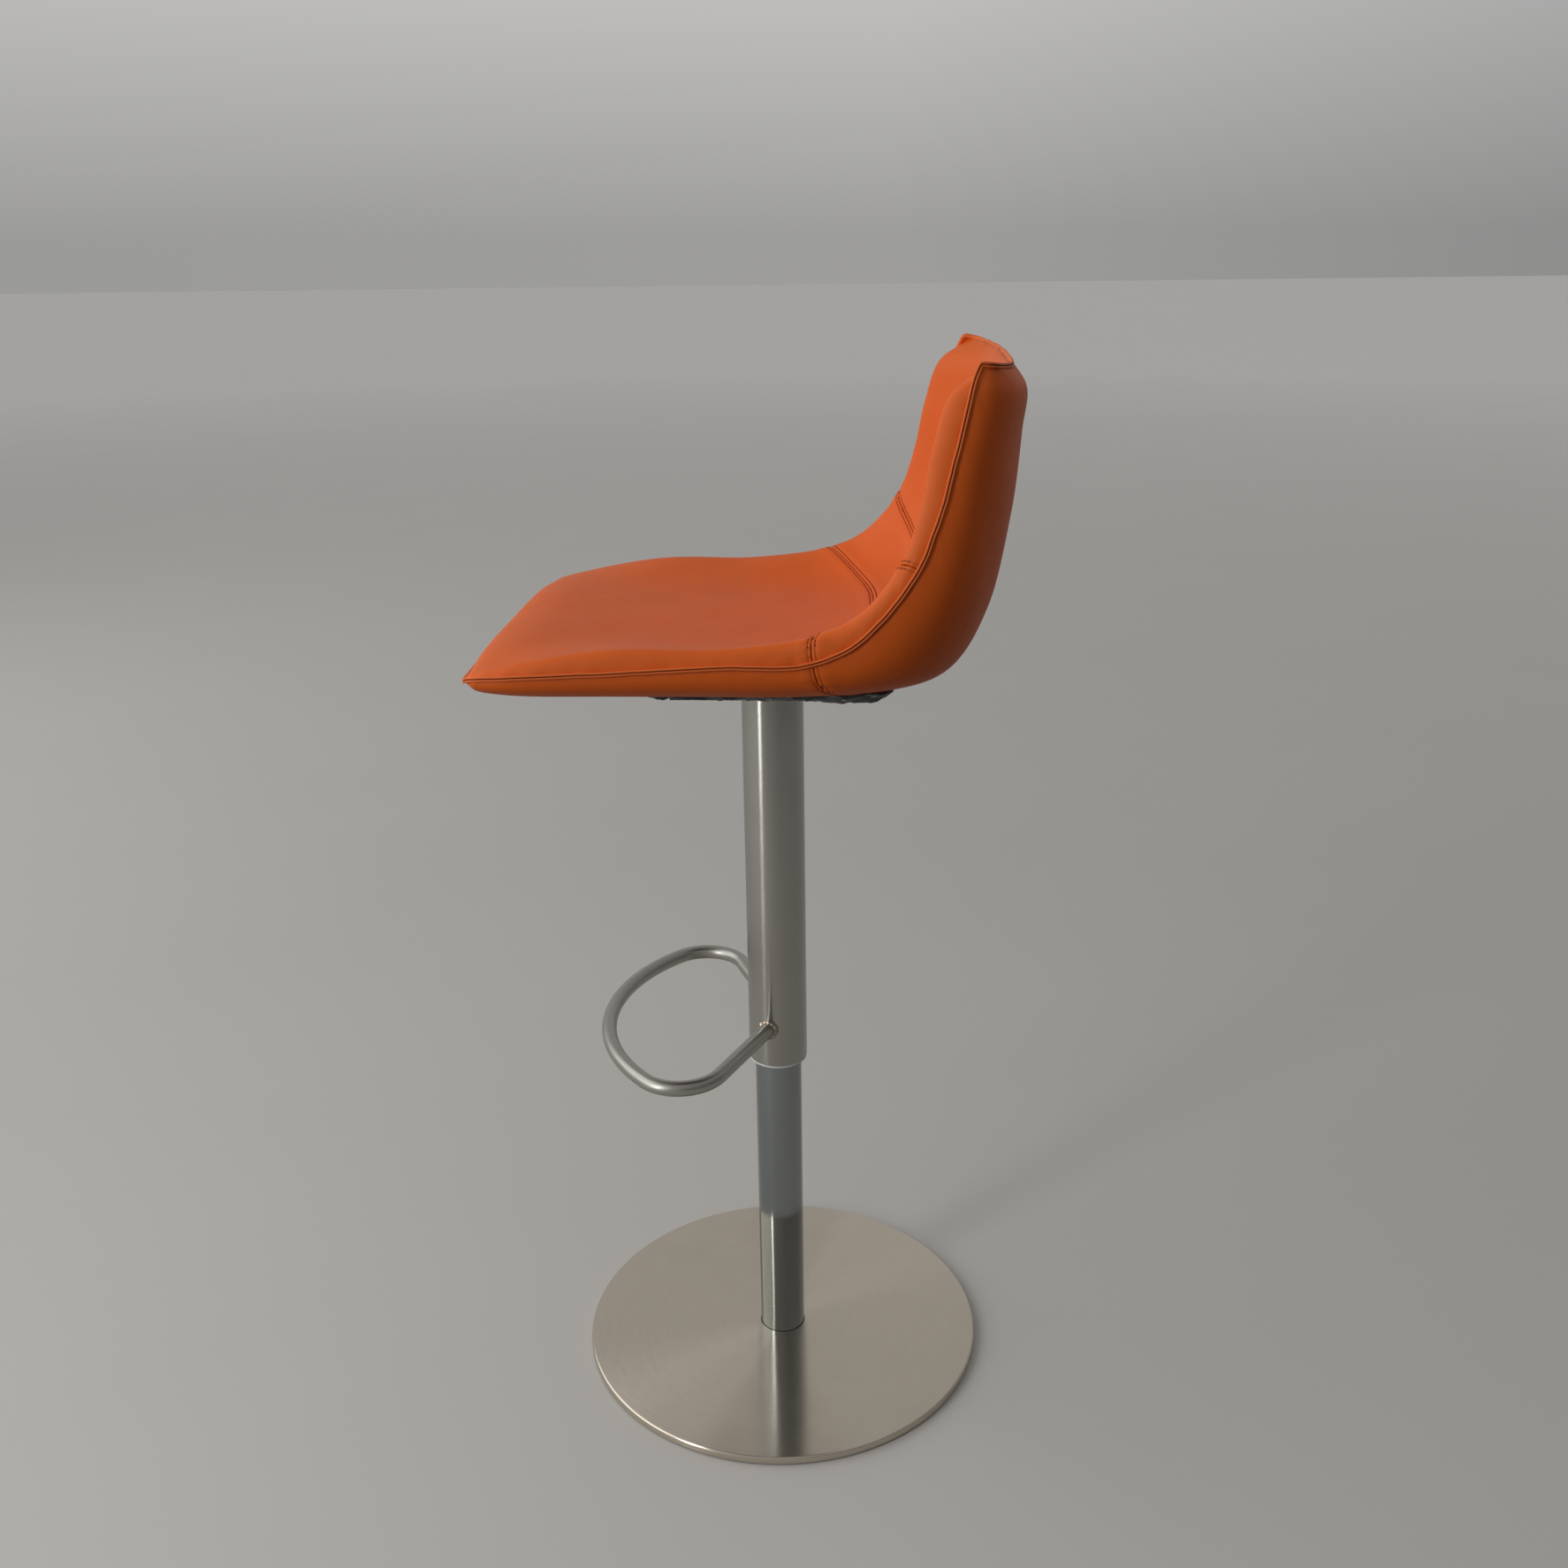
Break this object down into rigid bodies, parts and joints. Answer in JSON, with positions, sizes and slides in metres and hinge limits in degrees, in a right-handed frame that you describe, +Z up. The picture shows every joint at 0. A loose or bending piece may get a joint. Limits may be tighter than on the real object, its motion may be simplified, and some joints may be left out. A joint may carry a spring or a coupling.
{
  "type": "counter stool",
  "caption": "Height-adjustable swivel counter stool: padded bucket seat with low back, telescoping steel column, footrest loop and round disc base.",
  "frame": {"origin": "on the floor under the column's axis, at the middle of the floor pad's flat underside", "axes": "+Z up along the column's axis; the seat faces -Y; +X is the sitter's left"},
  "size_m": [0.45, 0.5171, 1.1224],
  "materials": {
    "brushed_stainless": "circular or lengthwise brushed",
    "polished_stainless": "mirror polished",
    "mild_steel": "plain mill finish",
    "zinc_steel": "zinc plated",
    "black_steel": "black powder coat",
    "weld": "raw weld bead",
    "pale_nylon": "turned nylon",
    "black_nylon": "moulded",
    "black_rubber": "moulded",
    "black_fabric": "non-woven dust cover",
    "plywood": "moulded ply, unfinished",
    "foam": "moulded foam",
    "seat_leather": "semi-matt upholstery leather",
    "piping_leather": "semi-matt upholstery leather"
  },
  "bodies": {
    "base": {"floor_pad": "black_rubber", "weight_plate": "mild_steel", "base_cover": "brushed_stainless", "lower_column": "polished_stainless", "column_foot_plug": "mild_steel", "foot_screw_1": "zinc_steel", "foot_screw_2": "zinc_steel", "foot_screw_3": "zinc_steel", "column_guide_bush": "black_nylon", "bearing_lower_washer": "mild_steel", "bearing_ball_cage": "zinc_steel"},
    "gas_rod_assembly": {"gas_rod": "polished_stainless", "rod_clip": "mild_steel", "bearing_upper_washer": "mild_steel", "rubber_bumper": "black_rubber", "gas_piston": "black_nylon", "piston_nut": "zinc_steel"},
    "upper": {"gas_cylinder": "black_steel", "cylinder_gland": "black_nylon", "sleeve_tube": "brushed_stainless", "sleeve_guide_ring": "pale_nylon", "sleeve_collar": "mild_steel", "sleeve_screw_1": "zinc_steel", "sleeve_screw_2": "zinc_steel", "taper_socket": "mild_steel", "footrest_loop": "brushed_stainless", "footrest_weld_left": "weld", "footrest_weld_right": "weld", "seat_plate": "black_steel", "lever_bracket": "black_steel", "lever_pivot_pin": "zinc_steel", "seat_bolt_1": "zinc_steel", "seat_bolt_2": "zinc_steel", "seat_bolt_3": "zinc_steel", "seat_bolt_4": "zinc_steel", "seat_washer_1": "zinc_steel", "seat_washer_2": "zinc_steel", "seat_washer_3": "zinc_steel", "seat_washer_4": "zinc_steel", "tee_nut_1": "zinc_steel", "tee_nut_2": "zinc_steel", "tee_nut_3": "zinc_steel", "tee_nut_4": "zinc_steel", "underside_panel": "black_fabric", "seat_shell": "plywood", "seat_foam": "foam", "seat_panel_cover": "seat_leather", "lumbar_panel_cover": "seat_leather", "back_panel_cover": "seat_leather", "outer_cover_front": "seat_leather", "outer_cover_back": "seat_leather", "edge_piping": "piping_leather"},
    "lever": {"lift_lever": "black_steel", "lever_grip": "black_nylon"},
    "valve_pin": {"release_pin": "zinc_steel"}
  },
  "joints": [
    {"name": "swivel", "type": "hinge", "parent": "base", "child": "gas_rod_assembly", "pos_m": [0, 0, 0.0267], "axis": [0, 0, 1], "continuous": true},
    {"name": "height_slide", "type": "slide", "parent": "gas_rod_assembly", "child": "upper", "axis": [0, 0, 1], "range_m": [-0.22, 0]},
    {"name": "lever_hinge", "type": "hinge", "parent": "upper", "child": "lever", "pos_m": [-0.034, 0, 0.8036], "axis": [0, 1, 0], "range_deg": [0, 6], "stiffness_Nm_per_rad": 18, "springref_deg": -5.73},
    {"name": "release_pin_slide", "type": "slide", "parent": "upper", "child": "valve_pin", "axis": [0, 0, 1], "range_m": [-0.0036, 0]}
  ],
  "couplings": [
    {"joint": "release_pin_slide", "follows": "lever_hinge", "m_per_rad": -0.034}
  ]
}
